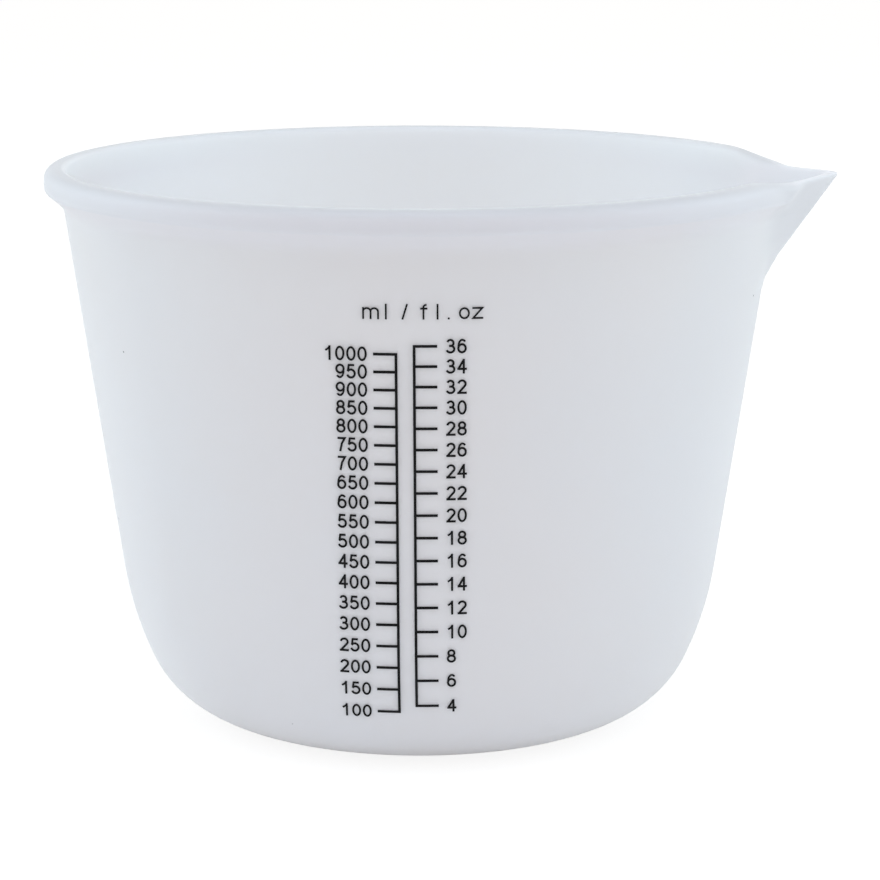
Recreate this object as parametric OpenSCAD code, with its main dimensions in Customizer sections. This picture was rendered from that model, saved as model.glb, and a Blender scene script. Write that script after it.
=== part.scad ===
// Mixing cup of soft silicone with a beaded rim, a pouring spout and a printed volume scale.
// Millimetres. The origin is the middle of the base's underside, +Z is up.
// The spout points along +X and the scale faces -Y.

/* [Cup] */
// Height of the rim's top above the table
rim_height = 114.2; // [106:0.1:135]
// Radius of the flat part of the base
base_radius = 36.8; // [34:0.1:42]
// Radius of the curve that rises from the base
corner_radius = 21.5; // [18:0.1:26]
// Radius of the gentler curve above it, up to the straight wall
flank_radius = 68.9; // [55:0.1:80]
// Lean of the wall, in degrees from upright, where the two curves meet
curve_meet_lean = 24.5; // [18:0.5:32]
// Lean of the straight wall, in degrees from upright
wall_lean = 8.3; // [6:0.1:10]
// Thickness of the moulded skin
wall = 1.7; // [1.4:0.1:2.8]

/* [Rim] */
// Radius of the round bead that stiffens the rim
bead_radius = 2.2; // [1.6:0.1:2.8]
// Distance from the wall's outer face to the middle of the bead
bead_overhang = 0.8; // [0.4:0.1:1.4]
// Radius that rounds the rim's inner edge
lip_radius = 1.2; // [0.8:0.1:1.6]
// Height of the bead's upright outer face
bead_face = 1.9; // [1.4:0.1:3]
// Radius that rounds the bead's lower edge
bead_edge_radius = 1.2; // [0.8:0.1:1.6]
// Depth of the bead's sloping underside
bead_skirt = 3.6; // [3:0.1:6]

/* [Spout] */
// Distance that the spout's tip stands out from the wall's outer face
spout_reach = 13.9; // [10:0.1:15]
// Height of the spout's keel, from the rim's top down to where it meets the wall
spout_depth = 23.4; // [20:0.1:25]
// Fall of the spout's edge, from the rim's top to the tip
spout_fall = 1.9; // [0.6:0.1:2.4]

/* [Scale] */
// Lowest mark of the millilitre scale
ml_first = 100; // [100:50:300]
// Highest mark of the millilitre scale
ml_last = 1000; // [800:50:1000]
// Lowest mark of the fluid ounce scale
fl_oz_first = 4; // [4:2:10]
// Highest mark of the fluid ounce scale
fl_oz_last = 36; // [28:2:36]
// Distance from the middle of the scale to the middle of each upright line
stem_offset = 1.68; // [1.4:0.02:2.2]
// Width of the printed lines
line_width = 0.52; // [0.4:0.02:0.8]
// Length of a mark, from the middle of its upright line
mark_length = 4.25; // [3.5:0.05:5]
// Space between a mark and its millilitre number
ml_number_gap = 1.15; // [0.8:0.05:1.6]
// Space between a mark and its fluid ounce number
fl_oz_number_gap = 1.6; // [0.8:0.05:2]
// Thickness of the ink
ink = 0.15; // [0.1:0.01:0.25]

/* [Lettering] */
// Height of a number
digit_height = 2.8; // [2.4:0.1:3.2]
// Width of a digit
digit_width = 1.76; // [1.5:0.02:1.9]
// Distance from one digit to the next
digit_pitch = 2.08; // [2.04:0.02:2.3]
// Width of a pen stroke in the numbers
pen = 0.4; // [0.24:0.02:0.42]
// Width of a pen stroke in the heading
heading_pen = 0.34; // [0.3:0.02:0.48]
// Height of the heading's baseline above the highest millilitre mark
heading_rise = 6.7; // [5:0.1:8]
// Height of the heading's tall letters
ascender = 2.95; // [2.8:0.05:3.4]
// Height of the heading's low letters
x_height = 2.25; // [2:0.05:2.6]
// Space between the heading's letters
letter_gap = 1.7; // [1.2:0.1:1.9]
// Space between the heading's slash and the millilitre symbol
ml_slash_gap = 2.85; // [1.8:0.05:3.2]
// Space between the heading's slash and the fluid ounce symbol
fl_oz_slash_gap = 2.4; // [1.8:0.05:3]

/* [Hidden] */
silicone_colour = [0.83, 0.84, 0.86, 0.85];
ink_colour = [0.08, 0.08, 0.08];
ml_step = 50;
fl_oz_step = 2;
ml_per_fl_oz = 28.413;
mm3_per_ml = 1000;
round_steps = 180;

ml_marks = [for (volume = [ml_last : -ml_step : ml_first]) volume];
fl_oz_marks = [for (volume = [fl_oz_last : -fl_oz_step : fl_oz_first]) volume];

// The wall's section, as points [radius, height]. An inset of 0 follows the outer face, an inset of
// one wall the inner face, and a negative inset stands proud of the outer face.
arc_steps = 7;
corner_middle = [base_radius, corner_radius];
flank_middle = corner_middle + (corner_radius - flank_radius) * lean_direction(curve_meet_lean);

// Direction that the outer face looks in where it leans by this angle
function lean_direction(lean) = [cos(lean), -sin(lean)];

function curve_points(middle, radius, first_lean, last_lean) = [
    for (i = [0 : arc_steps])
        middle + radius * lean_direction(first_lean + (last_lean - first_lean) * i / arc_steps)
];

// Radius of the straight wall at a height
function wall_radius(height, inset) =
    let (start = flank_middle + (flank_radius - inset) * lean_direction(wall_lean))
    start[0] + (height - start[1]) * tan(wall_lean);

function face_points(inset, top) = concat(
    curve_points(corner_middle, corner_radius - inset, 90, curve_meet_lean),
    [for (point = curve_points(flank_middle, flank_radius - inset, curve_meet_lean, wall_lean))
        if (point[1] > corner_middle[1] - (corner_radius - inset) * sin(curve_meet_lean) + 0.001) point],
    [[wall_radius(top, inset), top]]
);

// Radius of the inside at a height, read off its section
function inside_radius(height) = lookup(height, [for (point = inside_face) [point[1], point[0]]]);

// The bead and the rounded inner edge of the rim
bead_height = rim_height - bead_radius;
bead_middle = [wall_radius(bead_height, 0) + bead_overhang, bead_height];
lip_height = rim_height - lip_radius;
lip_middle = [wall_radius(lip_height, wall) + lip_radius / cos(wall_lean), lip_height];
edge_middle = bead_middle + [bead_radius - bead_edge_radius, -bead_face];
foot_height = edge_middle[1] - bead_skirt;
skirt_foot = [wall_radius(foot_height, 0), foot_height];
skirt_run = skirt_foot - edge_middle;
skirt_end_angle = atan2(skirt_run[1], skirt_run[0]) + acos(bead_edge_radius / norm(skirt_run));
edge_steps = 5;
bead_steps = 8;
lip_steps = 5;

function round_points(middle, radius, first, last, steps) = [
    for (i = [0 : steps])
        let (angle = first + (last - first) * i / steps)
        middle + radius * [cos(angle), sin(angle)]
];

inside_face = face_points(wall, foot_height);
outside_face = face_points(0, foot_height);

// Volume under a height, summed over thin slices
slices = 40;

function volume_below(height) =
    let (
        slice = (height - wall) / slices,
        squares = [for (i = [0 : slices - 1]) pow(inside_radius(wall + (i + 0.5) * slice), 2)]
    )
    PI * slice * sum(squares) / mm3_per_ml;

function sum(list, i = 0, total = 0) = i == len(list) ? total : sum(list, i + 1, total + list[i]);

// Height to which a volume fills the cup, found by halving the range that holds it
halvings = 16;

function fill_height(volume, low = wall, high = rim_height, turn = 0) =
    let (middle = (low + high) / 2)
    turn == halvings ? middle
    : volume_below(middle) < volume ? fill_height(volume, middle, high, turn + 1)
    : fill_height(volume, low, middle, turn + 1);

// The spout is a wedge: its two flanks run out inside the rim's skin, along tangents, and meet in a keel
shoulder_radius = wall_radius(rim_height, 0) - wall / 2;
tip = [wall_radius(rim_height, 0) + spout_reach, 0, rim_height];
spread = acos(shoulder_radius / tip[0]);
shoulder = [shoulder_radius * cos(spread), shoulder_radius * sin(spread), rim_height];
keel_foot = [wall_radius(rim_height - spout_depth, 0), 0, rim_height - spout_depth];
keel = tip - keel_foot;
flank_normal = cross(shoulder - tip, keel) / norm(cross(shoulder - tip, keel));
channel_shift = -wall / abs(flank_normal[0]);
keel_root = keel_foot - keel * wall / norm(keel);
cut_margin = 0.4;

module spout_wedge(rise) {
    grow = 1 + rise / (rim_height - keel_root[2]);
    top_tip = keel_root + grow * (tip - keel_root);
    top_shoulder = keel_root + grow * (shoulder - keel_root);
    polyhedron(
        points = [keel_root, top_tip, top_shoulder, [top_shoulder[0], -top_shoulder[1], top_shoulder[2]]],
        faces = [[0, 2, 1], [0, 1, 3], [0, 3, 2], [1, 2, 3]]
    );
}

// Everything above the spout's falling edge
module above_spout() {
    fall_start = shoulder[0];
    fall_angle = atan(spout_fall / (tip[0] - fall_start));
    translate([fall_start, 0, rim_height])
        rotate([0, fall_angle, 0])
            translate([-shoulder_radius, -shoulder_radius, 0])
                cube([2 * shoulder_radius, 2 * shoulder_radius, 2 * spout_fall + cut_margin]);
}

module cup_body() {
    color(silicone_colour)
        difference() {
            union() {
                rotate_extrude($fn = round_steps)
                    polygon(concat(
                        [[0, 0]],
                        outside_face,
                        round_points(edge_middle, bead_edge_radius, skirt_end_angle, 0, edge_steps),
                        round_points(bead_middle, bead_radius, 0, 90, bead_steps),
                        [[0, rim_height]]
                    ));
                spout_wedge(0);
            }
            rotate_extrude($fn = round_steps)
                polygon(concat(
                    [[0, wall]],
                    inside_face,
                    round_points(lip_middle, lip_radius, 180 - wall_lean, 90, lip_steps),
                    [[lip_middle[0], rim_height + cut_margin], [0, rim_height + cut_margin]]
                ));
            translate([channel_shift, 0, 0])
                spout_wedge(cut_margin);
            above_spout();
        }
}

// Lettering, drawn flat with a pen. A path is a list of points that the middle of the pen follows.
curve_steps = 14;

function arc(middle, wide, high, first, last) = [
    for (i = [0 : curve_steps])
        let (angle = first + (last - first) * i / curve_steps)
        middle + [wide * cos(angle), high * sin(angle)]
];

function heading_of(vector) = vector / norm(vector);

// Sideways step from a path's point to the edge of the stroke, mitred where the path turns
function pen_side(path, i) =
    let (
        before = heading_of(path[max(i, 1)] - path[max(i, 1) - 1]),
        after = heading_of(path[min(i, len(path) - 2) + 1] - path[min(i, len(path) - 2)]),
        along = heading_of(before + after)
    )
    [-along[1], along[0]] / (along * before);

module stroke(path, width) {
    polygon(concat(
        [for (i = [0 : len(path) - 1]) path[i] + pen_side(path, i) * width / 2],
        [for (i = [len(path) - 1 : -1 : 0]) path[i] - pen_side(path, i) * width / 2]
    ));
}

ring_steps = 32;

function oval(middle, wide, high) = [
    for (i = [0 : ring_steps - 1])
        middle + [wide * cos(360 * i / ring_steps), high * sin(360 * i / ring_steps)]
];

module ring(middle, wide, high, width) {
    difference() {
        polygon(oval(middle, wide + width / 2, high + width / 2));
        polygon(oval(middle, wide - width / 2, high - width / 2));
    }
}

// One digit. Its strokes are set out in a box of [0, 0] to [w, h], half a pen inside the digit's edges
module digit(value) {
    w = digit_width - pen;
    h = digit_height - pen;
    translate([pen / 2, pen / 2]) {
        if (value == 0) {
            ring([w / 2, h / 2], w / 2, h / 2, pen);
        }
        if (value == 1) {
            stroke([[0.62 * w, -pen / 2], [0.62 * w, h + pen / 2]], pen);
            stroke([[0.05 * w, 0.7 * h], [0.4 * w, 0.84 * h], [0.62 * w, h]], pen * 0.9);
        }
        if (value == 2) {
            stroke(concat(
                arc([0.5 * w, 0.73 * h], 0.48 * w, 0.27 * h, 172, -34),
                [[0.1 * w, 0.05 * h]]), pen);
            stroke([[-pen / 2, 0], [w + pen / 2, 0]], pen);
        }
        if (value == 3) {
            stroke(arc([0.46 * w, 0.75 * h], 0.42 * w, 0.25 * h, 160, -80), pen);
            stroke(arc([0.46 * w, 0.27 * h], 0.52 * w, 0.27 * h, 80, -162), pen);
            stroke([[0.28 * w, 0.52 * h], [0.6 * w, 0.52 * h]], pen);
        }
        if (value == 4) {
            stroke([[0.74 * w, -pen / 2], [0.74 * w, h + pen / 2]], pen);
            stroke([[0.72 * w, h], [0.05 * w, 0.34 * h]], pen);
            stroke([[-pen / 2, 0.29 * h], [w + pen / 2, 0.29 * h]], pen);
        }
        if (value == 5) {
            stroke([[0.93 * w, h], [0.18 * w, h], [0.05 * w, 0.5 * h]], pen);
            stroke(arc([0.47 * w, 0.32 * h], 0.53 * w, 0.32 * h, 148, -162), pen);
        }
        if (value == 6) {
            six(w, h);
        }
        if (value == 7) {
            stroke([[0, h], [w, h], [0.6 * w, 0.56 * h], [0.36 * w, -pen / 2]], pen);
        }
        if (value == 8) {
            ring([0.5 * w, 0.76 * h], 0.42 * w, 0.24 * h, pen);
            ring([0.5 * w, 0.27 * h], 0.5 * w, 0.27 * h, pen);
        }
        if (value == 9) {
            translate([w, h])
                rotate(180)
                    six(w, h);
        }
    }
}

module six(w, h) {
    bowl = [0.5 * w, 0.32 * h];
    difference() {
        union() {
            polygon(oval(bowl, 0.5 * w + pen / 2, 0.32 * h + pen / 2));
            stroke(concat(arc([0.53 * w, 0.72 * h], 0.42 * w, 0.28 * h, 28, 112),
                [[0.17 * w, 0.86 * h], [0.07 * w, 0.7 * h], [0.03 * w, 0.55 * h], [0.03 * w, 0.42 * h]]),
                0.92 * pen);
        }
        polygon(oval(bowl, 0.5 * w - pen / 2, 0.32 * h - pen / 2));
    }
}

function number_width(value) = (len(str(value)) - 1) * digit_pitch + digit_width;

module number(value) {
    digits = str(value);
    for (i = [0 : len(digits) - 1])
        translate([i * digit_pitch, 0])
            digit(ord(digits[i]) - ord("0"));
}

// Ink on the front of the wall. The children are flat outlines, with X to the right and Y upward,
// and they are laid straight back onto the outer face between two heights.
function reversed(list) = [for (i = [len(list) - 1 : -1 : 0]) list[i]];

module printed(low, high) {
    color(ink_colour)
        intersection() {
            rotate_extrude($fn = round_steps)
                intersection() {
                    polygon(concat(face_points(-ink, foot_height), reversed(outside_face)));
                    translate([0, low])
                        square([tip[0], high - low]);
                }
            rotate([90, 0, 0])
                linear_extrude(tip[0])
                    children();
        }
}

// One scale: an upright line with its marks, on the left (side -1) or the right (side 1)
module graduations(marks, side) {
    heights = [for (volume = marks) fill_height(volume)];
    top = heights[0] + line_width / 2;
    bottom = heights[len(heights) - 1] - line_width / 2;
    printed(bottom, top) {
        translate([side * stem_offset - line_width / 2, bottom])
            square([line_width, top - bottom]);
        for (height = heights)
            translate([side * stem_offset + min(0, side) * mark_length, height - line_width / 2])
                square([mark_length, line_width]);
    }
}

// One number, level with its mark
module scale_number(value, volume, left) {
    height = fill_height(volume);
    printed(height - digit_height, height + digit_height)
        translate([left, height - digit_height / 2])
            number(value);
}

module ml_graduations() {
    graduations(ml_marks, -1);
}

module fl_oz_graduations() {
    graduations([for (ounces = fl_oz_marks) ounces * ml_per_fl_oz], 1);
}

module ml_number(volume) {
    scale_number(volume, volume, -stem_offset - mark_length - ml_number_gap - number_width(volume));
}

module fl_oz_number(ounces) {
    scale_number(ounces, ounces * ml_per_fl_oz, stem_offset + mark_length + fl_oz_number_gap);
}

// The heading over the scales: two unit symbols with a slash between them
baseline = fill_height(ml_last) + heading_rise;
m_width = 3.1;
m_gap = 1.1;
slash_width = 0.9;
f_width = 1.3;
o_width = 2;
z_width = 2;
z_gap = 0.45;
join = 0.02;

module heading() {
    printed(baseline - x_height, baseline + ascender + x_height)
        translate([0, baseline])
            children();
}

// An upright line that stands on the baseline
module upright(left, top) {
    stroke([[left + heading_pen / 2, 0], [left + heading_pen / 2, top]], heading_pen);
}

module ml_heading() {
    m_left = -slash_width / 2 - ml_slash_gap - heading_pen - m_gap - m_width;
    leg_gap = (m_width - heading_pen) / 2;
    arch_high = 0.35 * x_height;
    heading() {
        upright(m_left, x_height);
        for (i = [1, 2])
            upright(m_left + i * leg_gap, x_height - arch_high);
        for (i = [0.5, 1.5])
            stroke(arc([m_left + heading_pen / 2 + i * leg_gap, x_height - arch_high - join],
                leg_gap / 2, arch_high + join - heading_pen / 2, 180, 0), heading_pen);
        upright(m_left + m_width + m_gap, ascender);
    }
}

module heading_slash() {
    heading()
        stroke([[-slash_width / 2, 0], [slash_width / 2, ascender]], heading_pen);
}

module fl_oz_heading() {
    f_left = slash_width / 2 + fl_oz_slash_gap;
    l_left = f_left + f_width + letter_gap;
    dot_left = l_left + heading_pen + letter_gap;
    o_left = dot_left + heading_pen + letter_gap;
    z_left = o_left + o_width + z_gap;
    hook = 0.5;
    top_middle = x_height - heading_pen / 2;
    heading() {
        stroke(concat([[f_left + f_width * 0.45, 0]],
            arc([f_left + f_width * 0.45 + hook, ascender - hook - heading_pen / 2], hook, hook, 180, 80)),
            heading_pen);
        stroke([[f_left, top_middle], [f_left + f_width, top_middle]], heading_pen);
        upright(l_left, ascender);
        translate([dot_left, 0])
            square([heading_pen, heading_pen]);
        ring([o_left + o_width / 2, x_height / 2], (o_width - heading_pen) / 2,
            (x_height - heading_pen) / 2, heading_pen);
        stroke([[z_left, top_middle], [z_left + z_width - heading_pen / 2, top_middle],
            [z_left + heading_pen / 2, heading_pen / 2], [z_left + z_width, heading_pen / 2]], heading_pen);
    }
}

cup_body();
ml_graduations();
fl_oz_graduations();
ml_heading();
heading_slash();
fl_oz_heading();
for (volume = ml_marks)
    ml_number(volume);
for (volume = fl_oz_marks)
    fl_oz_number(volume);
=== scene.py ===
"""A silicone mixing cup with a beaded rim, a pouring spout and a printed volume scale.

Lengths are in metres. The cup stands on Z = 0, its spout points along +X and its scale faces -Y.
"""

import math

import bpy
import numpy as np
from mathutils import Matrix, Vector


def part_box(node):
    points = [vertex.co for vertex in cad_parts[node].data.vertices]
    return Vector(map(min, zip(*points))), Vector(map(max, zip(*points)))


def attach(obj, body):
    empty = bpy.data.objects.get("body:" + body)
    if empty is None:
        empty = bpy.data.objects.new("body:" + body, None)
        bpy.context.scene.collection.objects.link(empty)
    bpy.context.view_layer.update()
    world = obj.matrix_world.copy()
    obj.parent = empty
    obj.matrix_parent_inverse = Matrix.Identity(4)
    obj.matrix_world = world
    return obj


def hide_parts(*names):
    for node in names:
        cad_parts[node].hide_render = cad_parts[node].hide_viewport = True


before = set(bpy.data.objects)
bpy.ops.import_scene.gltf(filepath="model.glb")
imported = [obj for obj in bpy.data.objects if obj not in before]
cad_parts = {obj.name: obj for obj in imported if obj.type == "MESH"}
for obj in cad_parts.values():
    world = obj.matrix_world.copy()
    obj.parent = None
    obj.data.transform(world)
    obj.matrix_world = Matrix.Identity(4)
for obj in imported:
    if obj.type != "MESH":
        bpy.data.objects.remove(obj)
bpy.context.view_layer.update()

MM = 0.001

# The cup's section. The wall's outer face is the one that the printed scale lies on.
RIM_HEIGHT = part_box("cup_body")[1].z
BASE_RADIUS = 36.8 * MM
CORNER_RADIUS = 21.5 * MM
FLANK_RADIUS = 68.9 * MM
CURVE_MEET_LEAN = math.radians(24.5)
WALL_LEAN = math.radians(8.3)
WALL = 1.7 * MM

# The rim's bead, its sloping underside with a fillet into the wall, and the rounded inner edge
BEAD_RADIUS = 2.2 * MM
BEAD_OVERHANG = 0.8 * MM
BEAD_FACE = 1.6 * MM
BEAD_EDGE_RADIUS = 1.2 * MM
UNDERSIDE_SLOPE = math.radians(38)
UNDERSIDE_DROP = 5.6 * MM
LIP_RADIUS = 1.2 * MM

# How far the fillet's handles reach from its ends to the corner that it rounds
FILLET_HANDLE = 0.85

# The spout. Its two flanks leave the rim along tangents and meet in a rounded keel.
SPOUT_REACH = 13.8 * MM
SPOUT_DEPTH = 24.4 * MM
SPOUT_LIP_ROUND = 0.9 * MM
KEEL_ROUND = 0.6 * MM
CHANNEL_ROUND = 1.1 * MM

# The spout's edge falls below the rim between these two angles, and rises a little at the tip.
# Further down, over this height, the fall fades out.
SPOUT_FALL = 1.9 * MM
SPOUT_FALL_FROM = math.radians(29)
SPOUT_FALL_TO = math.radians(10)
TIP_RISE = 0.4 * MM
SPOUT_FALL_HEIGHT = 12 * MM

# The fillet from the flanks into the wall narrows towards the rim, over the shoulder's height.
# Past the shoulders the flanks curve away, and drop by the foot's fillet over this angle.
FOOT_FILLET = 2.8 * MM
SHOULDER_FILLET = 0.7 * MM
SHOULDER_HEIGHT = 15 * MM
FLANK_DROP_ANGLE = math.radians(10)

# The bead thins out to the spout's edge between these two angles
BEAD_FADE_FROM = math.radians(16)
BEAD_FADE_TO = math.radians(8)

# How finely the cup's surface is cut. Its columns are closest together at the keel, and have the
# full step from this angle on.
COLUMN_STEP = math.radians(1.4)
KEEL_COLUMN_STEP = math.radians(0.3)
FULL_STEP_FROM = math.radians(30)
CORNER_ROWS = 16
FLANK_ROWS = 12
WALL_ROWS = 16
FILLET_ROWS = 9
BEAD_EDGE_ROWS = 6
BEAD_ROWS = 9
LIP_ROWS = 8
SPOUT_EDGE_ROWS = 7
FLOOR_ROWS = 5

# The rim's tones. The bead has all of the band's own tone, and the fillet under it up to this share, which is
# painted light on the shade under the bead. The painted shade on the top edge grows up the bead, is full at
# the crest, and falls to this share at the lip's end.
FILLET_PAINTED_LIGHT = 0.1
CREST_SHADE_POWER = 1.5
LIP_END_SHADE = 0.15

# The inside is painted lighter than the outside, lightest at the rim. Between these depths painted shade
# darkens it a little. Towards the spout and opposite it, painted shade darkens it much more, from just
# under the rim down to where this fades out.
UNDER_RIM_DEPTHS = (4 * MM, 10 * MM)
UNDER_RIM_SHADE = 0.05
SIDE_SHADE = 0.95
SIDE_POWER = 1.2
SIDE_FULL_DEPTH = 3 * MM
SIDE_FADE_DEPTHS = (30 * MM, 70 * MM)

# The spout's painted shade reaches this far from the keel on the outer and the inner face, and is full over
# this share of that. It fades out over the lower half of the spout's depth.
SPOUT_SHADE_OUTSIDE = math.radians(24)
SPOUT_SHADE_INSIDE = math.radians(17)
SPOUT_SHADE_CORE = 0.3


def lean_direction(lean):
    """Where the outer face looks, as (outward, upward), when it leans by this angle from upright."""
    return np.array([math.cos(lean), -math.sin(lean)])


BEAD_HEIGHT = RIM_HEIGHT - BEAD_RADIUS
RIM_FOOT = BEAD_HEIGHT - BEAD_FACE - UNDERSIDE_DROP
CORNER_MIDDLE = np.array([BASE_RADIUS, CORNER_RADIUS])
FLANK_MIDDLE = CORNER_MIDDLE + (CORNER_RADIUS - FLANK_RADIUS) * lean_direction(CURVE_MEET_LEAN)


def curve_points(middle, radius, first_lean, last_lean, rows):
    leans = np.linspace(first_lean, last_lean, rows + 1)
    return [middle + radius * lean_direction(lean) for lean in leans]


def straight_radius(height, inset):
    """Radius of the straight part of the wall, carried on to any height."""
    start = FLANK_MIDDLE + (FLANK_RADIUS - inset) * lean_direction(WALL_LEAN)
    return start[0] + (height - start[1]) * math.tan(WALL_LEAN)


def wall_section(inset, top):
    """The face from the middle of the base up to a height, as points of radius and height."""
    first = curve_points(CORNER_MIDDLE, CORNER_RADIUS - inset, math.pi / 2, CURVE_MEET_LEAN, CORNER_ROWS)
    second = curve_points(FLANK_MIDDLE, FLANK_RADIUS - inset, CURVE_MEET_LEAN, WALL_LEAN, FLANK_ROWS)
    flat = [np.array([BASE_RADIUS * share, inset]) for share in np.linspace(0, 1, FLOOR_ROWS + 1)[1:-1]]
    heights = np.linspace(second[-1][1], top, WALL_ROWS + 1)[1:]
    straight = [np.array([straight_radius(height, inset), height]) for height in heights]
    return np.array(flat + first + second[1:] + straight)


def bezier(start, leave, arrive, end, rows):
    share = np.linspace(0, 1, rows + 1)[:, None]
    rest = 1 - share
    return rest**3 * start + 3 * rest**2 * share * leave + 3 * rest * share**2 * arrive + share**3 * end


def round_points(middle, radius, angles):
    return middle + radius * np.stack([np.cos(angles), np.sin(angles)], axis=1)


def rim_section():
    """The plain rim's outer and inner rows, as points of radius and height."""
    bead_middle = np.array([straight_radius(BEAD_HEIGHT, 0) + BEAD_OVERHANG, BEAD_HEIGHT])
    bead = round_points(bead_middle, BEAD_RADIUS, np.linspace(0, math.pi / 2, BEAD_ROWS))
    edge_middle = bead_middle + np.array([BEAD_RADIUS - BEAD_EDGE_RADIUS, -BEAD_FACE])
    edge_angles = np.linspace(UNDERSIDE_SLOPE - math.pi / 2, 0, BEAD_EDGE_ROWS)
    edge = round_points(edge_middle, BEAD_EDGE_RADIUS, edge_angles)
    foot = np.array([straight_radius(RIM_FOOT, 0), RIM_FOOT])
    wall_run = np.array([math.sin(WALL_LEAN), math.cos(WALL_LEAN)])
    slope_run = -np.array([math.cos(UNDERSIDE_SLOPE), math.sin(UNDERSIDE_SLOPE)])
    # How far along each of the two straight runs the corner that the fillet rounds lies
    reach = np.linalg.solve(np.stack([wall_run, -slope_run], axis=1), edge[0] - foot)
    leave = foot + FILLET_HANDLE * reach[0] * wall_run
    arrive = edge[0] + FILLET_HANDLE * reach[1] * slope_run
    fillet = bezier(foot, leave, arrive, edge[0], FILLET_ROWS)
    lip_height = RIM_HEIGHT - LIP_RADIUS
    lip_middle = np.array([straight_radius(lip_height, WALL) + LIP_RADIUS / math.cos(WALL_LEAN), lip_height])
    lip = round_points(lip_middle, LIP_RADIUS, np.linspace(math.pi / 2, math.pi - WALL_LEAN, LIP_ROWS))
    return np.concatenate([fillet[1:], edge[1:], bead]), lip


def spout_edge_section(outer_rows, inner_rows):
    """The spout's thin rounded edge in as many rows as the rim, as (offset from the face, height)."""
    turn_height = RIM_HEIGHT - SPOUT_LIP_ROUND
    rise = np.linspace(RIM_FOOT, turn_height, outer_rows - SPOUT_EDGE_ROWS + 1)[1:]
    face = np.stack([np.zeros_like(rise), rise], axis=1)
    turn = np.linspace(0, math.pi / 2, SPOUT_EDGE_ROWS + 1)[1:]
    outer_turn = round_points([-SPOUT_LIP_ROUND, turn_height], SPOUT_LIP_ROUND, turn)
    inner_turn = round_points(
        [SPOUT_LIP_ROUND, turn_height], SPOUT_LIP_ROUND, np.linspace(math.pi / 2, math.pi, inner_rows))
    return np.concatenate([face, outer_turn]), inner_turn


def smooth_step(low, high, value):
    share = np.clip((value - low) / (high - low), 0, 1)
    return share * share * (3 - 2 * share)


def blended_max(first, second, blend):
    """The larger of two values, with a fillet that is as wide as blend where they cross."""
    share = np.clip(0.5 + 0.5 * (second - first) / blend, 0, 1)
    return first * (1 - share) + second * share + blend * share * (1 - share)


class Spout:
    """The planes of the spout's flanks, and how far they push the wall out."""

    def __init__(self):
        shoulder_radius = straight_radius(RIM_HEIGHT, WALL / 2)
        tip = np.array([straight_radius(RIM_HEIGHT, 0) + SPOUT_REACH, 0, RIM_HEIGHT])
        self.spread = math.acos(shoulder_radius / tip[0])
        shoulder = np.array([
            shoulder_radius * math.cos(self.spread), shoulder_radius * math.sin(self.spread), RIM_HEIGHT])
        foot_height = RIM_HEIGHT - SPOUT_DEPTH
        foot = np.array([straight_radius(foot_height, 0), 0, foot_height])
        normal = np.cross(shoulder - tip, tip - foot)
        self.normal = normal / np.linalg.norm(normal)
        self.offset = self.normal @ tip

    def flank_radius(self, angle, height, inset):
        """Radius of the flanks at an angle from the spout, with the keel between them rounded."""
        keel_round = CHANNEL_ROUND if inset else KEEL_ROUND
        reach = self.offset - self.normal[2] * height - inset
        inside = np.minimum(np.abs(angle), self.spread)
        along = self.normal[0] * np.cos(inside)
        across = (self.normal[1] * np.sin(inside)) ** 2
        root = np.sqrt(reach**2 * across + keel_round**2 * (along**2 - across))
        radius = (reach * along - root) / (along**2 - across)
        beyond = np.maximum(np.abs(angle) - self.spread, 0)
        return radius - FOOT_FILLET * (beyond / FLANK_DROP_ANGLE) ** 2

    def push(self, angle, height, inset):
        """How far the spout moves the face outward there."""
        plain = straight_radius(height, inset)
        near_rim = smooth_step(RIM_HEIGHT - SHOULDER_HEIGHT, RIM_HEIGHT, height)
        blend = FOOT_FILLET + (SHOULDER_FILLET - FOOT_FILLET) * near_rim
        return blended_max(plain, self.flank_radius(angle, height, inset), blend) - plain


def bead_kept(angle):
    """1 where the rim has its bead, and 0 where the spout's thin edge takes its place."""
    return smooth_step(BEAD_FADE_TO, BEAD_FADE_FROM, np.abs(angle))


def place_rows(spout, angle, offset, height, inset):
    """Points of a face at these angles and heights, pushed out by the spout and sunk by its fall."""
    fall = SPOUT_FALL * (1 - smooth_step(SPOUT_FALL_TO, SPOUT_FALL_FROM, np.abs(angle)))
    fall -= TIP_RISE * (1 - smooth_step(0, SPOUT_FALL_TO, np.abs(angle)))
    sunk = height - fall * smooth_step(RIM_HEIGHT - SPOUT_FALL_HEIGHT, RIM_HEIGHT, height)
    radius = straight_radius(sunk, inset) + offset + spout.push(angle, sunk, inset)
    return np.stack([radius * np.cos(angle), radius * np.sin(angle), sunk], axis=2)


def wall_rows(spout, angle, section, inset):
    """The rows of a face below the rim."""
    height = section[:, 1][None, :] + 0 * angle
    offset = section[:, 0][None, :] - straight_radius(height, inset)
    return place_rows(spout, angle, offset, height, inset)


def rim_rows(spout, angle, section, edge, inset):
    """The rows of one side of the rim, which thins out to the spout's edge."""
    kept = bead_kept(angle)
    offset = section[:, 0] - straight_radius(section[:, 1], inset)
    offset = edge[:, 0] + (offset - edge[:, 0]) * kept
    height = edge[:, 1] + (section[:, 1] - edge[:, 1]) * kept
    return place_rows(spout, angle, offset, height, inset)


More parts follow.
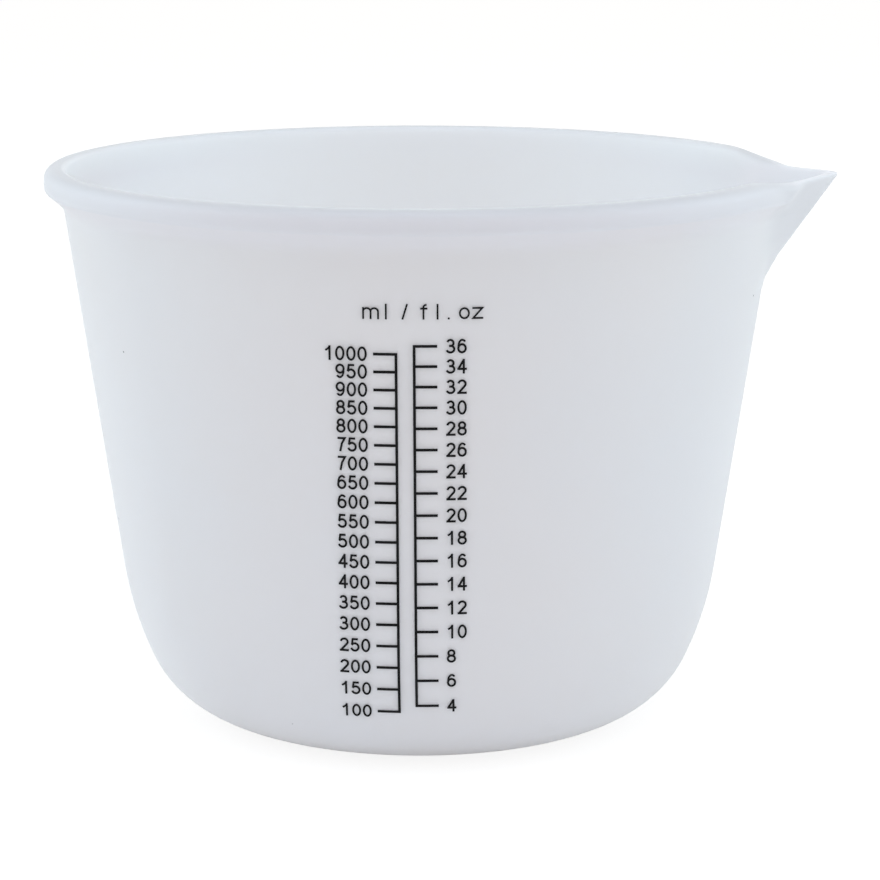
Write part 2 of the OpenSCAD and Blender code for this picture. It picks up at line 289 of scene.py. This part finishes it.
def cup_faces(angle):
    """The outer wall, outer rim, inner rim and inner wall, each as columns by rows by XYZ."""
    spout = Spout()
    rim_outer, rim_inner = rim_section()
    edge_outer, edge_inner = spout_edge_section(len(rim_outer), len(rim_inner))
    outer_wall = wall_section(0, RIM_FOOT)
    inner_wall = wall_section(WALL, RIM_HEIGHT - LIP_RADIUS + LIP_RADIUS * math.sin(WALL_LEAN))[:-1]
    return [
        wall_rows(spout, angle, outer_wall, 0),
        rim_rows(spout, angle, rim_outer, edge_outer, 0),
        rim_rows(spout, angle, rim_inner, edge_inner, WALL),
        wall_rows(spout, angle, inner_wall, WALL)[:, ::-1],
    ]


def rim_tones():
    """How far each outer row takes the band's tone and the top edge's painted shade, and each inner row that
    painted shade.
    """
    fillet = FILLET_PAINTED_LIGHT * np.linspace(0, 1, FILLET_ROWS + 1)[1:]
    band = np.concatenate([fillet, np.ones(BEAD_EDGE_ROWS - 1 + BEAD_ROWS)])
    crest = np.sin(np.linspace(0, math.pi / 2, BEAD_ROWS)) ** CREST_SHADE_POWER
    outer_edge = np.concatenate([np.zeros(len(band) - BEAD_ROWS), crest])
    inner_edge = np.linspace(1, LIP_END_SHADE, LIP_ROWS)
    return band, outer_edge, inner_edge


# Painted light on the inside, lightest at the rim, with painted shade below it and towards the spout and
# opposite it
def painted_inside_light_and_shade(angle, depth):
    under_rim = smooth_step(*UNDER_RIM_DEPTHS, depth)
    sides = np.abs(np.cos(angle)) ** SIDE_POWER * (1 - smooth_step(*SIDE_FADE_DEPTHS, depth))
    return 1 - UNDER_RIM_SHADE * under_rim - SIDE_SHADE * sides * smooth_step(0, SIDE_FULL_DEPTH, depth)


# Painted shade on the spout, on its outer and its inner face
def painted_spout_shade(angle, depth, facing_in):
    half_width = SPOUT_SHADE_OUTSIDE + (SPOUT_SHADE_INSIDE - SPOUT_SHADE_OUTSIDE) * facing_in
    beside = smooth_step(SPOUT_SHADE_CORE * half_width, half_width, np.abs(angle))
    return (1 - beside) * (1 - smooth_step(SPOUT_DEPTH / 2, SPOUT_DEPTH, depth))


def cup_tones(angle, faces):
    """How far each point takes each tone of the silicone, painted light and shade among them, by the tone's
    name.
    """
    counts = [face.shape[1] for face in faces]
    outer_wall, _, inner_rim, inner_wall = (np.zeros(count) for count in counts)
    band, outer_edge, inner_edge = rim_tones()
    depth = RIM_HEIGHT - np.concatenate(faces, axis=1)[:, :, 2]
    facing_in = np.repeat([0, 0, 1, 1], counts)[None, :]
    return {
        "inside": facing_in * painted_inside_light_and_shade(angle, depth),
        "thick_and_fillet_light": np.concatenate([outer_wall, band, inner_rim, inner_wall]) * bead_kept(angle),
        "painted_top_shade": np.concatenate([outer_wall, outer_edge, inner_edge, inner_wall]) + 0 * angle,
        "spout": painted_spout_shade(angle, depth, facing_in),
    }


def column_angles():
    """Angles round the cup from the spout, closest together at the keel."""
    angles = [0.0]
    while angles[-1] < math.pi:
        away = min(angles[-1] / FULL_STEP_FROM, 1)
        angles.append(angles[-1] + KEEL_COLUMN_STEP + (COLUMN_STEP - KEEL_COLUMN_STEP) * away)
    half = np.array(angles) * math.pi / angles[-1]
    return np.concatenate([half[:-1], -half[:0:-1]])


def add_object(name, data):
    thing = bpy.data.objects.new(name, data)
    bpy.context.scene.collection.objects.link(thing)
    return thing


def make_cup():
    """The cup as one closed skin, from the middle of its underside over the rim to its floor's middle."""
    angle = column_angles()[:, None]
    faces = cup_faces(angle)
    grid = np.concatenate(faces, axis=1)
    columns, rows = grid.shape[:2]
    points = [tuple(point) for point in grid.reshape(-1, 3)]
    under_middle, floor_middle = len(points), len(points) + 1
    points += [(0, 0, 0), (0, 0, WALL)]
    polygons = []
    for column in range(columns):
        here, there = column * rows, (column + 1) % columns * rows
        polygons.append((under_middle, there, here))
        for row in range(rows - 1):
            polygons.append((here + row, there + row, there + row + 1, here + row + 1))
        polygons.append((floor_middle, here + rows - 1, there + rows - 1))
    mesh = bpy.data.meshes.new("silicone_cup")
    mesh.from_pydata(points, [], polygons)
    for name, tone in cup_tones(angle, faces).items():
        middles = [0, 1 if name == "inside" else 0]
        values = np.concatenate([tone.reshape(-1), middles]).astype(np.float32)
        mesh.attributes.new(name, "FLOAT", "POINT").data.foreach_set("value", values)
    mesh.shade_smooth()
    return add_object("silicone_cup", mesh)


# Nodes that the materials share. Noise seldom leaves the range from its low to its high value.
NOISE_DETAIL = 3
NOISE_LOW = 0.3
NOISE_HIGH = 0.7


def new_material(name):
    material = bpy.data.materials.new(name)
    material.use_nodes = True
    tree = material.node_tree
    return material, tree, tree.nodes["Principled BSDF"]


def calculate(tree, operation, first, second):
    """One step of arithmetic on two values, each a number or another node's output."""
    node = tree.nodes.new("ShaderNodeMath")
    node.operation = operation
    for socket, value in zip(node.inputs, (first, second)):
        if isinstance(value, (int, float)):
            socket.default_value = value
        else:
            tree.links.new(value, socket)
    return node.outputs[0]


def make_grain_group():
    """Fine moulded grain with a slower drift over it, in object coordinates."""
    group = bpy.data.node_groups.new("moulded_grain", "ShaderNodeTree")
    sockets = group.interface
    sockets.new_socket("Grain Size", in_out="INPUT", socket_type="NodeSocketFloat")
    sockets.new_socket("Drift Size", in_out="INPUT", socket_type="NodeSocketFloat")
    sockets.new_socket("Grain", in_out="OUTPUT", socket_type="NodeSocketFloat")
    sockets.new_socket("Drift", in_out="OUTPUT", socket_type="NodeSocketFloat")
    nodes, links = group.nodes, group.links
    entry = nodes.new("NodeGroupInput")
    leaving = nodes.new("NodeGroupOutput")
    place = nodes.new("ShaderNodeTexCoord")
    for size, label in (("Grain Size", "Grain"), ("Drift Size", "Drift")):
        noise = nodes.new("ShaderNodeTexNoise")
        noise.inputs["Detail"].default_value = NOISE_DETAIL
        links.new(place.outputs["Object"], noise.inputs["Vector"])
        links.new(calculate(group, "DIVIDE", 1, entry.outputs[size]), noise.inputs["Scale"])
        links.new(noise.outputs["Fac"], leaving.inputs[label])
    return group


GRAIN = make_grain_group()


def grain(tree, grain_size, drift_size):
    """The grain and the drift, at these sizes."""
    node = tree.nodes.new("ShaderNodeGroup")
    node.node_tree = GRAIN
    node.inputs["Grain Size"].default_value = grain_size
    node.inputs["Drift Size"].default_value = drift_size
    return node.outputs["Grain"], node.outputs["Drift"]


def spread_over(tree, noise, low, high):
    """Stretches noise over a range of values."""
    node = tree.nodes.new("ShaderNodeMapRange")
    node.inputs["From Min"].default_value = NOISE_LOW
    node.inputs["From Max"].default_value = NOISE_HIGH
    node.inputs["To Min"].default_value = low
    node.inputs["To Max"].default_value = high
    tree.links.new(noise, node.inputs["Value"])
    return node.outputs["Result"]


def mix_colours(tree, mask, first, second):
    node = tree.nodes.new("ShaderNodeMix")
    node.data_type = "RGBA"
    tree.links.new(mask, node.inputs["Factor"])
    for socket, colour in ((node.inputs[6], first), (node.inputs[7], second)):
        if isinstance(colour, tuple):
            socket.default_value = (*colour, 1)
        else:
            tree.links.new(colour, socket)
    return node.outputs[2]


def mix_shaders(tree, share, first, second):
    node = tree.nodes.new("ShaderNodeMixShader")
    for socket, source in zip(node.inputs, (share, first, second)):
        tree.links.new(source, socket)
    return node.outputs[0]


def bump(tree, height, distance, strength):
    node = tree.nodes.new("ShaderNodeBump")
    node.inputs["Distance"].default_value = distance
    node.inputs["Strength"].default_value = strength
    tree.links.new(height, node.inputs["Height"])
    return node.outputs["Normal"]


def attribute(tree, name):
    node = tree.nodes.new("ShaderNodeAttribute")
    node.attribute_name = name
    return node.outputs["Fac"]


# Milky silicone. The outside drifts between two tones, and the cup's other parts have one each,
# named as the cup's attributes are: the inside's is painted light, the top edge's and the spout's are
# painted shade, and the fillet's share of the band's is painted light. Light goes equally deep in red, green
# and blue.
OUTSIDE_COOL = (0.835, 0.82, 0.84)
OUTSIDE_WARM = (0.85, 0.815, 0.82)
TONES = {
    # painted light on the inside, with painted shade below the rim and towards the spout and opposite it
    "inside": (0.97, 0.98, 0.98),
    # the bead's own tone, which on the fillet under the bead is painted light
    "thick_and_fillet_light": (0.82, 0.81, 0.835),
    # painted shade on the rim's top edge, darkening the crest and the lip where light from above falls
    "painted_top_shade": (0.63, 0.63, 0.635),
    # painted shade on the spout
    "spout": (0.765, 0.755, 0.77),
}
SILICONE_GRAIN = 0.5 * MM
SILICONE_DRIFT = 45 * MM
SILICONE_ROUGHNESS = (0.4, 0.5)
SILICONE_IOR = 1.41
LIGHT_DEPTH = 4 * MM

# Specks of dust, one to a cell at most. Their size is a share of the distance between cells.
SPECK_COLOUR = (0.10, 0.10, 0.11)
SPECK_SPACING = 14 * MM
SPECK_SIZE = 0.016


def speck_mask(tree):
    place = tree.nodes.new("ShaderNodeTexCoord")
    cells = tree.nodes.new("ShaderNodeTexVoronoi")
    cells.inputs["Scale"].default_value = 1 / SPECK_SPACING
    tree.links.new(place.outputs["Object"], cells.inputs["Vector"])
    return calculate(tree, "LESS_THAN", cells.outputs["Distance"], SPECK_SIZE)


def make_silicone():
    material, tree, shader = new_material("milky_silicone")
    fine, drift = grain(tree, SILICONE_GRAIN, SILICONE_DRIFT)
    milky = mix_colours(tree, spread_over(tree, drift, 0, 1), OUTSIDE_COOL, OUTSIDE_WARM)
    for name, tone in TONES.items():
        milky = mix_colours(tree, attribute(tree, name), milky, tone)
    dusty = mix_colours(tree, speck_mask(tree), milky, SPECK_COLOUR)
    tree.links.new(dusty, shader.inputs["Base Color"])
    tree.links.new(spread_over(tree, drift, *SILICONE_ROUGHNESS), shader.inputs["Roughness"])
    tree.links.new(bump(tree, fine, distance=0.05 * MM, strength=0.25), shader.inputs["Normal"])
    shader.inputs["IOR"].default_value = SILICONE_IOR
    shader.inputs["Subsurface Weight"].default_value = 1
    shader.inputs["Subsurface Radius"].default_value = (1, 1, 1)
    shader.inputs["Subsurface Scale"].default_value = LIGHT_DEPTH
    return material


# Printed ink, a little greyer where it lies thin
INK_DENSE = (0.003, 0.003, 0.003)
INK_THIN = (0.009, 0.009, 0.01)
INK_GRAIN = 0.25 * MM
INK_DRIFT = 6 * MM
INK_ROUGHNESS = (0.5, 0.65)
INK_SHINE = 0.12


def make_ink():
    material, tree, shader = new_material("printed_ink")
    fine, drift = grain(tree, INK_GRAIN, INK_DRIFT)
    colour = mix_colours(tree, spread_over(tree, drift, 0, 1), INK_DENSE, INK_THIN)
    tree.links.new(colour, shader.inputs["Base Color"])
    tree.links.new(spread_over(tree, fine, *INK_ROUGHNESS), shader.inputs["Roughness"])
    tree.links.new(bump(tree, fine, distance=0.03 * MM, strength=0.3), shader.inputs["Normal"])
    shader.inputs["Specular IOR Level"].default_value = INK_SHINE
    return material


def dress(thing, material):
    if thing.material_slots:
        for slot in thing.material_slots:
            slot.material = material
    else:
        thing.data.materials.append(material)


cup = make_cup()
dress(cup, make_silicone())
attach(cup, "root")
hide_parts("cup_body")

ink = make_ink()
for name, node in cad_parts.items():
    if name != "cup_body":
        dress(node, ink)


# The studio: a white floor in an even pale room, with soft boxes beside, above and behind the cup
FLOOR_HALF = 6
FLOOR_GAP = 0.05 * MM
FLOOR_COLOUR = (0.96, 0.96, 0.96)
FLOOR_ROUGHNESS = 0.9
FLOOR_GLOW = 1.15
FLOOR_GLOW_SHARE = 0.75
ROOM_LIGHT = (0.543, 0.51, 0.48)
SIDE_LIGHT = (0.61, 0.88, 1)
TOP_LIGHT = (0.63, 0.77, 1)
WHITE = (1, 1, 1)
CUP_MIDDLE = Vector((0, 0, 0.06))


def seen_as_background(tree):
    """1 for the rays that show the background: from the camera, by reflection and through glass."""
    path = tree.nodes.new("ShaderNodeLightPath")
    seen = path.outputs["Is Camera Ray"]
    for kind in ("Is Glossy Ray", "Is Transmission Ray"):
        seen = calculate(tree, "MAXIMUM", seen, path.outputs[kind])
    return seen


def make_floor_white():
    """A matt white that keeps the cup's shadow, and shows as white to the camera."""
    material, tree, shader = new_material("floor_white")
    shader.inputs["Base Color"].default_value = (*FLOOR_COLOUR, 1)
    shader.inputs["Roughness"].default_value = FLOOR_ROUGHNESS
    glow = tree.nodes.new("ShaderNodeEmission")
    glow.inputs["Strength"].default_value = FLOOR_GLOW
    share = calculate(tree, "MULTIPLY", seen_as_background(tree), FLOOR_GLOW_SHARE)
    surface = mix_shaders(tree, share, shader.outputs[0], glow.outputs[0])
    tree.links.new(surface, tree.nodes["Material Output"].inputs["Surface"])
    return material


def make_floor():
    mesh = bpy.data.meshes.new("floor")
    corners = [(x * FLOOR_HALF, y * FLOOR_HALF, 0) for x, y in ((-1, -1), (1, -1), (1, 1), (-1, 1))]
    mesh.from_pydata(corners, [], [(0, 1, 2, 3)])
    floor = add_object("floor", mesh)
    floor.location.z = -FLOOR_GAP
    dress(floor, make_floor_white())


def make_world():
    """An even pale room that shows as plain white to the camera."""
    world = bpy.data.worlds.new("white_room")
    world.use_nodes = True
    tree = world.node_tree
    light = tree.nodes["Background"]
    light.inputs["Color"].default_value = (*ROOM_LIGHT, 1)
    white = tree.nodes.new("ShaderNodeBackground")
    white.inputs["Color"].default_value = (*WHITE, 1)
    surface = mix_shaders(tree, seen_as_background(tree), light.outputs[0], white.outputs[0])
    tree.links.new(surface, tree.nodes["World Output"].inputs["Surface"])
    bpy.context.scene.world = world


def make_soft_box(name, place, size, watts, colour):
    data = bpy.data.lights.new(name, "AREA")
    data.shape = "RECTANGLE"
    data.size, data.size_y = size
    data.energy = watts
    data.color = colour
    lamp = add_object(name, data)
    lamp.location = place
    lamp.rotation_euler = (CUP_MIDDLE - Vector(place)).to_track_quat("-Z", "Y").to_euler()


# The camera, as fitted to the photograph's outline and printed marks
CAMERA_AIM_HEIGHT = 58.5 * MM
CAMERA_DISTANCE = 627 * MM
CAMERA_ELEVATION = math.radians(11.62)
CAMERA_TURN = math.radians(2.2)
CAMERA_NEAR = 0.01
CAMERA_FAR = 50
PICTURE_SIZE = 880
FOCAL_PIXELS = 3000
AXIS_PIXEL = (419.6, 428.4)


def make_camera():
    data = bpy.data.cameras.new("camera")
    data.lens = data.sensor_width * FOCAL_PIXELS / PICTURE_SIZE
    data.shift_x = 0.5 - AXIS_PIXEL[0] / PICTURE_SIZE
    data.shift_y = AXIS_PIXEL[1] / PICTURE_SIZE - 0.5
    data.clip_start, data.clip_end = CAMERA_NEAR, CAMERA_FAR
    camera = add_object("camera", data)
    level = math.cos(CAMERA_ELEVATION)
    back = Vector((level * math.sin(CAMERA_TURN), -level * math.cos(CAMERA_TURN), math.sin(CAMERA_ELEVATION)))
    camera.location = Vector((0, 0, CAMERA_AIM_HEIGHT)) + CAMERA_DISTANCE * back
    camera.rotation_euler = (-back).to_track_quat("-Z", "Y").to_euler()
    bpy.context.scene.camera = camera


make_floor()
make_world()
for name, across in (("left_box", -0.9), ("right_box", 0.9)):
    make_soft_box(name, place=(across, 0.1, 0.4), size=(0.8, 0.9), watts=2.55, colour=SIDE_LIGHT)
make_soft_box("top_box", place=(0, -0.25, 1.1), size=(0.8, 0.8), watts=4.4, colour=TOP_LIGHT)
make_soft_box("back_box", place=(0, 1, 0.5), size=(1, 0.8), watts=0.75, colour=WHITE)
make_camera()
bpy.context.scene.view_settings.view_transform = "Standard"
